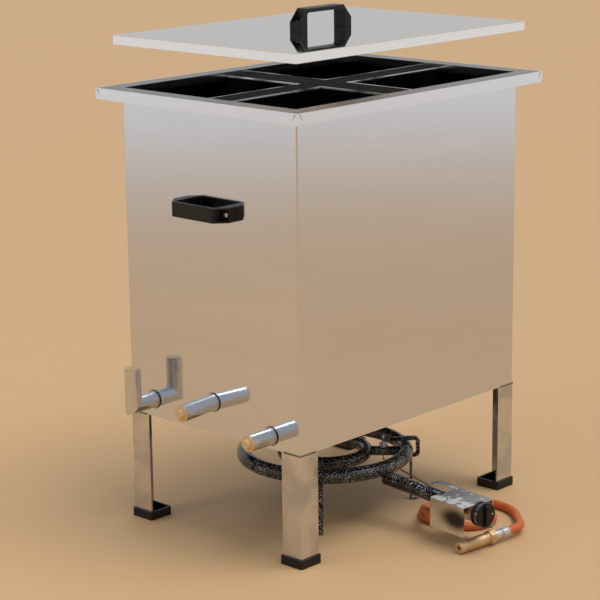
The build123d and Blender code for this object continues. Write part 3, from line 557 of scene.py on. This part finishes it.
# Outlet pipes. Three short ends of drawn stainless tube of 26.9 mm, let into the wall and welded
# all round: the water filler with its upright riser, the sloping wax outlet and the drain.
pipe_steel, place = finish("pipe_steel", (0.55, 0.55, 0.55), metallic=1.0, roughness=0.2)
drawn = grain(place, 1, stretch=(220, 12, 60), detail=3)
turned_lines = grain(place, 1, stretch=(40, 1600, 1600), detail=2)
pipe_tone = tint(drawn, (0.56, 0.58, 0.61), (0.71, 0.725, 0.75))
coat(pipe_steel, Base_Color=pipe_tone, Roughness=0.20 + drawn * 0.10,
     Normal=relief(turned_lines, 0.02 * MM, 0.5))
dress(["wax_outlet", "drain_pipe", "filler_elbow"], pipe_steel)


# Ring welds. A narrow weld all round each pipe where it goes into the wall, darkened by the heat
# and scaled like the beads.
def sector(way, count):
    """Which of so many equal sectors round Z a direction lies in."""
    return int((math.atan2(way.y, way.x) % math.tau) / (math.tau / count))


PIPE_RADIUS = 13.45
RING_OUT = 1.1
RING_HALF = 0.95
RING_SCALES = 40
FACES_ROUND = 3 * RING_SCALES
SCALE_LIFT = 0.16
RING_PLACES = {
    "wax": (2, -271.0, 236.3),
    "drain": (128.6, -271.0, 206),
    "filler": (-136, -271.0, 214.6),
}
ring_weld, place = finish("ring_weld", (0.05, 0.05, 0.05), metallic=1.0, roughness=0.4)
burnt = grain(place, 200, detail=4)
burnt_tone = tint(burnt, (0.018, 0.017, 0.016), (0.16, 0.15, 0.14))
coat(ring_weld, Base_Color=burnt_tone, Roughness=0.3 + burnt * 0.3)
for name, spot in RING_PLACES.items():
    bpy.ops.object.select_all(action="DESELECT")
    bpy.ops.mesh.primitive_torus_add(
        major_radius=(PIPE_RADIUS + RING_OUT) * MM, minor_radius=RING_HALF * MM,
        major_segments=FACES_ROUND, minor_segments=10)
    ring = bpy.context.object
    ring.name = name + "_weld_ring"
    pick_faces(ring, lambda face: sector(face.calc_center_median(), FACES_ROUND) % 3 == 0)
    bpy.ops.transform.shrink_fatten(value=SCALE_LIFT * MM)
    bpy.ops.object.mode_set(mode="OBJECT")
    stand(ring, Vector(spot) * MM, (0, -1, 0))
    hand_over(ring, "tank", ring_weld, sharp=60)

# Stoppers. Plugs turned from light wood, each with a collar and a nub. The wood shows its fibres
# and lighter patches.
stopper_wood, place = finish("stopper_wood", (0.62, 0.44, 0.27), metallic=0.0, roughness=0.6)
fibre = grain(place, 1, stretch=(700, 90, 700), detail=4)
patch = grain(place, 90)
light_wood = tint(fibre, (0.48, 0.30, 0.14), (0.82, 0.59, 0.33))
wood_tone = tint(patch * 0.5, light_wood, (0.76, 0.54, 0.30))
coat(stopper_wood, Base_Color=wood_tone, Roughness=0.5 + patch * 0.2,
     Normal=relief(fibre, 0.3 * MM, 0.5))
dress(["wax_stopper", "drain_stopper", "filler_stopper"], stopper_wood)

# Handles. Bridge handles moulded in black plastic with recessed ends, one on the lid and one on
# each short wall.
dress(["front_handle", "rear_handle", "lid_handle"], moulded, edge=0.7, segments=3)

# Handle screws. Two steel screws with cross slots hold each handle, with their heads in its ends
# and their nuts inside the wall or the lid. The lid's are blued and the others plated.
SCREW_OFFSET = 54.5
SCREW_HEAD = 4.3
SCREW_TAIL = 6.5
SCREW_FACE = 24.4
SCREW_STEPS = [
    (0.3, 2.5), (20.8, 2.5), (0, SCREW_HEAD), (1.7, SCREW_HEAD), (0.7, 3.9), (0.4, 2.9),
    (0.15, 1.2),
]
NUT_RAISED = 1.0
NUT_STEPS = [(0.5, 4.62), (2.8, 4.62), (0.5, 4.1), (0, 2.4)]
screw = draw_out("handle_screw", radius=2.2, length=0.4, steps=SCREW_STEPS, sides=32)
cut_cross(screw, height=SCREW_FACE, across=4.8, wide=0.9, deep=2.4)
nut = draw_out("handle_nut", radius=4.1, length=0.1, steps=NUT_STEPS, sides=6)
nut.location.z = NUT_RAISED * MM
screw = make_one([screw, nut], "handle_screw")
blued, place = finish("blued_steel", (0.05, 0.05, 0.055), metallic=1.0, roughness=0.35)
coat(blued, Roughness=0.28 + grain(place, 250) * 0.2)
LID_HANDLE_X = 4
LID_HANDLE_Y = -9
LID_TOP = 809.2
WALL_FACE = 270
CARRY_HEIGHT = 550.5
seats = {
    "lid_handle_screws": [
        ((LID_HANDLE_X, LID_HANDLE_Y + side * SCREW_OFFSET, LID_TOP), (0, 0, 1))
        for side in (-1, 1)],
    "carry_handle_screws": [
        ((side * SCREW_OFFSET, end * WALL_FACE, CARRY_HEIGHT), (0, end, 0))
        for side in (-1, 1) for end in (-1, 1)],
}
for node_name, spots in seats.items():
    screws = []
    for spot, way in spots:
        screws.append(twin(screw))
        stand(screws[-1], (Vector(spot) - SCREW_TAIL * Vector(way)) * MM, way)
    driven = make_one(screws, node_name + "_driven")
    on_lid = node_name.startswith("lid")
    hand_over(driven, "lid" if on_lid else "tank", blued if on_lid else plated)
    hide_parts(node_name)
bpy.data.objects.remove(screw)

# Lid. A shallow pan of bright stainless sheet with its edge folded down, polished so that it
# mirrors its handle.
lid_steel, place = finish("lid_steel", (0.70, 0.70, 0.69), metallic=1.0, roughness=0.08)
lid_grain = grain(place, 1, stretch=(1200, 5, 1200), detail=4)
lid_smudge = grain(place, 6)
lid_tone = tint(lid_grain, (0.78, 0.785, 0.79), (0.86, 0.865, 0.87))
coat(lid_steel, Base_Color=lid_tone, Roughness=0.015 + lid_grain * 0.02 + lid_smudge * 0.02,
     Normal=relief(lid_grain, 0.01 * MM, 0.05))
dress(["lid_panel", "lid_edge"], lid_steel)

# Burner rings. Two rings of bent tube, joined by three spokes and fed through a sloping pipe, with
# three pan supports on legs. All are in black enamel with dense white speckles that stand up.
enamel, place = finish("speckled_enamel", (0.01, 0.01, 0.011), metallic=0.0, roughness=0.22)
worms = fade(grain(place, 430, detail=1), 0.54, 0.63)
thin_out = fade(grain(place, 20, detail=2), 0.36, 0.62)
flecks = worms * (0.15 + thin_out * 0.85)
lumps = grain(place, 60)
enamel_tone = tint(flecks, (0.004, 0.004, 0.005), (0.42, 0.42, 0.41))
coat(enamel, Base_Color=enamel_tone, Roughness=0.12 + flecks * 0.25,
     Normal=relief(flecks + lumps, 0.5 * MM, 0.5))
dress(["outer_ring", "inner_ring", "ring_spokes", "feed_pipe"], enamel)
dress(["pan_support_1", "pan_support_2", "pan_support_3"], enamel, edge=0.9, segments=3)

# Control box. Bright sheet folded over the top and sides, open in front and below, with an eyed
# tab. It mirrors what is round it, with painted light in pale patches on its top, random darker
# mottling, and a painted dark reflection on its near side.
BOX_TOP = 76.7 * MM
NEAR_EDGE = (-34 * MM, -14 * MM)
bright_sheet, place = finish("bright_sheet", (0.72, 0.71, 0.69), metallic=1.0, roughness=0.12)
scratch = grain(place, 1, stretch=(30, 500, 500), detail=5)
spangle = grain(place, 45, detail=1)
upward = fade(along(place, "Z"), BOX_TOP - 1.2 * MM, BOX_TOP - 0.5 * MM)
near_side = 1 - fade(along(place, "Y"), *NEAR_EDGE)
# Painted light: pale patches on the box's top, more of them towards the near side.
painted_top_light = fade(grain(place, 90, detail=5) + near_side * 0.17, 0.57, 0.64) * upward
# Random darker mottling of the sheet, which also roughens the edge of the painted dark reflection.
dark_mottle = fade(grain(place, 16, detail=1), 0.40, 0.75)
sheet_shine = tint(spangle, (0.58, 0.58, 0.59), (0.76, 0.76, 0.76))
# Painted reflection: a dark oval patch on the near side, where a shadow would be mirrored.
REFLECTION_MIDDLE = Vector((320, -49, 53)) * MM
REFLECTION_SHAPE = (0.6, 1, 1.2)
REFLECTION_EDGE = (9 * MM, 31 * MM)
squeezed = place.node("Mapping", {}, {"Vector": place, "Scale": REFLECTION_SHAPE})
squeezed_middle = [spot * shape for spot, shape in zip(REFLECTION_MIDDLE, REFLECTION_SHAPE)]
from_middle = place.node("VectorMath", {"operation": "DISTANCE"},
                         {0: squeezed, 1: squeezed_middle}, "Value")
painted_dark_reflection = (1 - fade(from_middle + dark_mottle * (8 * MM), *REFLECTION_EDGE)) * 0.98
mottled_sheet = tint(dark_mottle * 0.6, sheet_shine, (0.28, 0.275, 0.27))
with_painted_reflection = tint(painted_dark_reflection, mottled_sheet, (0.03, 0.03, 0.035))
box_tone = tint(painted_top_light, with_painted_reflection, (0.80, 0.79, 0.77))
coat(bright_sheet, Base_Color=box_tone,
     Roughness=0.04 + scratch * 0.10 + upward * 0.22 + painted_top_light * 0.25,
     Normal=relief(spangle, 0.5 * MM, 0.25))
dress(["control_box", "probe_bracket"], bright_sheet, edge=0.3)

# Valve. A brass body with its injector and inlet elbow inside the box, and a plated sleeve that is
# crimped over the hose. Its plated stem carries the knob.
dress(["injector", "valve_body", "inlet_elbow"], brass)
dress(["inlet_sleeve", "valve_stem"], plated)

# Thermocouple. A plated probe that stands beside a spoke in its bracket, held by its shoulder. Its
# copper lead runs along the feed pipe to the valve.
copper, place = finish("copper", (0.55, 0.27, 0.15), metallic=1.0, roughness=0.3)
patina = grain(place, 90)
copper_tone = tint(patina, (0.38, 0.17, 0.09), (0.66, 0.36, 0.20))
coat(copper, Base_Color=copper_tone, Roughness=0.22 + patina * 0.2)
dress(["thermocouple_lead"], copper)
PROBE_STEPS = [
    (0.4, 2.45), (13, 2.45), (0, 4.3), (0.4, 4.6), (3.2, 4.6), (0.4, 4.3),
    (0, 2.45), (9.2, 2.45), (0.3, 2.0), (4.8, 2.0), (1.2, 1.6), (0.6, 0.8),
]
probe_low, probe_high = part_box("thermocouple")
probe_foot = ((probe_low.x + probe_high.x) / 2, (probe_low.y + probe_high.y) / 2, probe_low.z)
probe = draw_out("thermocouple_probe", radius=2.0, length=0.4, steps=PROBE_STEPS, sides=32)
stand(probe, probe_foot, (0, 0, 1))
hand_over(probe, "burner", plated)
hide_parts("thermocouple")

# Knob. A disc of black plastic with a grip bar across its face and fine ribs round it, a black
# nickel bezel pressed over it, and a white dot that shows its position.
black_nickel, place = finish("black_nickel", (0.10, 0.10, 0.105), metallic=1.0, roughness=0.12)
rub = grain(place, 60)
nickel_tone = tint(rub, (0.05, 0.05, 0.052), (0.30, 0.30, 0.30))
coat(black_nickel, Base_Color=nickel_tone, Roughness=0.08 + rub * 0.14)
dress(["knob_bezel"], black_nickel)
dress(["knob"], moulded)

BOX_TURN = math.radians(-6.42)
PIVOT = Vector((267, -15, 0)) * MM
knob_way = Vector((math.cos(BOX_TURN), math.sin(BOX_TURN), 0))


def turned_with_box(x, y, z):
    """A place given as if the control box stood straight, turned with it."""
    spot = Vector((x, y, z)) * MM - PIVOT
    spot.rotate(Quaternion((0, 0, 1), BOX_TURN))
    return spot + PIVOT


KNOB_BACK = 351.5
KNOB_FACE = 367.95
KNOB_Y = -17
KNOB_Z = 65
KNOB_RADIUS = 19.5
KNOB_WALL = 8
HALFWAY_OUT = 15
RIBS = 36
RIB_DEPTH = 8.4
RIB_MIDDLE = 4.6
RIB_SUNK = 0.3
RIB_GAP = 0.15
RIB_HEIGHT = 0.75
bpy.ops.object.select_all(action="DESELECT")
bpy.ops.mesh.primitive_cylinder_add(vertices=2 * RIBS, radius=(KNOB_RADIUS - RIB_SUNK) * MM,
                                    depth=RIB_DEPTH * MM, location=(0, 0, RIB_MIDDLE * MM))
ribs = bpy.context.object
ribs.name = "knob_ribs"
bpy.ops.object.transform_apply(location=True, rotation=False, scale=False)
pick_faces(ribs, lambda face: abs(face.normal.z) > 0.5)
bpy.ops.mesh.inset(thickness=KNOB_WALL * MM)
bpy.ops.mesh.bridge_edge_loops()
bpy.ops.object.mode_set(mode="OBJECT")
pick_faces(ribs, lambda face: (abs(face.normal.z) < 0.5
                               and face.calc_center_median().xy.length > HALFWAY_OUT * MM
                               and sector(face.normal, 2 * RIBS) % 2 == 0))
bpy.ops.mesh.inset(thickness=RIB_GAP * MM, use_individual=True)
bpy.ops.mesh.extrude_region_shrink_fatten(TRANSFORM_OT_shrink_fatten={"value": RIB_HEIGHT * MM})
bpy.ops.object.mode_set(mode="OBJECT")
stand(ribs, turned_with_box(KNOB_BACK, KNOB_Y, KNOB_Z), knob_way)
hand_over(ribs, "knob", moulded, sharp=20)

DOT_OUT = 13.5
DOT_STEPS = [(0.15, 1.3), (0.15, 1.0), (0.05, 0.4)]
white_mark, place = finish("white_mark", (0.80, 0.80, 0.78), metallic=0.0, roughness=0.5)
coat(white_mark, Roughness=0.4 + grain(place, 400) * 0.2)
dot = draw_out("knob_dot", radius=1.1, length=0.1, steps=DOT_STEPS, sides=24)
stand(dot, turned_with_box(KNOB_FACE, KNOB_Y + DOT_OUT, KNOB_Z), knob_way)
hand_over(dot, "knob", white_mark)

# Floor. A plain pale floor of matt paint, which runs on to the horizon and takes the melter's soft
# shadow.
FLOOR_SIZE = 60
floor_paint, place = finish("floor_paint", (0.634, 0.407, 0.207), metallic=0.0, roughness=0.6)
coat(floor_paint, Roughness=0.55 + grain(place, 3) * 0.1)
bpy.ops.object.select_all(action="DESELECT")
bpy.ops.mesh.primitive_plane_add(size=FLOOR_SIZE)
floor = bpy.context.object
floor.name = "floor"
floor.data.materials.append(floor_paint)

# Light. An even surround, a soft sun from above for the shadow, and a small strip lamp low on the
# left for the gloss of the pipes.
world = bpy.data.worlds.new("studio")
world.use_nodes = True
surround = world.node_tree.nodes["Background"]
surround.inputs["Color"].default_value = (1.0, 0.985, 0.97, 1)
surround.inputs["Strength"].default_value = 0.55
scene.world = world

KEY_PLACE = (1.7, 0.8, 4.8)
KEY_SPREAD = math.radians(38)
bpy.ops.object.light_add(type="SUN", location=KEY_PLACE)
key = bpy.context.object
key.name = "key"
key.data.energy = 1.40
key.data.angle = KEY_SPREAD
key.rotation_euler = (-key.location).to_track_quat("-Z", "Y").to_euler()

STRIP_PLACE = (-0.65, -2.1, 1.9)
STRIP_WIDTH = 0.7
STRIP_HEIGHT = 0.3
STRIP_AIM = Vector((0, -0.3, 0.2))
bpy.ops.object.light_add(type="AREA", location=STRIP_PLACE)
strip = bpy.context.object
strip.name = "strip"
strip.data.shape = "RECTANGLE"
strip.data.size = STRIP_WIDTH
strip.data.size_y = STRIP_HEIGHT
strip.data.energy = 5.5
strip.rotation_euler = (STRIP_AIM - strip.location).to_track_quat("-Z", "Y").to_euler()
strip.visible_camera = False

# Cards. Two glowing cards that stand on the floor before the tank's two seen walls, clear below and
# pale above. Only surfaces that mirror see them, as the walls do in their upper half.
CARD_WIDTH = 2.0
CARD_HEIGHT = 0.75
CARD_TURN = -0.75
CARD_GAP = 0.01
CARD_PALE = (0.15, 0.65)
CARD_CLEAR = (0.0, 0.6)
CARD_PLACES = {"card_front": (-0.82, -1.10, 0), "card_side": (1.05, 0.88, 0)}
card_glow = bpy.data.materials.new("card_glow")
card_glow.use_nodes = True
card_nodes = card_glow.node_tree
card_nodes.nodes.clear()
level = along(Field(card_nodes).node("TexCoord", {}, {}, "Object"), "Z")
clear = level.node("BsdfTransparent", {}, {}, "BSDF")
pale = tint(fade(level, *CARD_PALE), (0.62, 0.50, 0.37), (0.80, 0.77, 0.735))
glow = level.node("Emission", {}, {"Color": pale, "Strength": 1.0}, "Emission")
veil = level.node("MixShader", {}, {0: fade(level, *CARD_CLEAR), 1: clear, 2: glow}, 0)
level.node("OutputMaterial", {}, {"Surface": veil})
for name, spot in CARD_PLACES.items():
    bpy.ops.object.select_all(action="DESELECT")
    bpy.ops.mesh.primitive_plane_add(size=1)
    card = bpy.context.object
    card.name = name
    card.scale = (CARD_WIDTH, CARD_HEIGHT, 1)
    card.rotation_euler = (math.pi / 2, 0, CARD_TURN)
    card.location = Vector(spot) + Vector((0, 0, CARD_HEIGHT / 2 + CARD_GAP))
    bpy.ops.object.transform_apply(location=True, rotation=True, scale=True)
    card.data.materials.append(card_glow)
    card.visible_camera = False
    card.visible_diffuse = False
    card.visible_shadow = False

scene.view_settings.view_transform = "Standard"
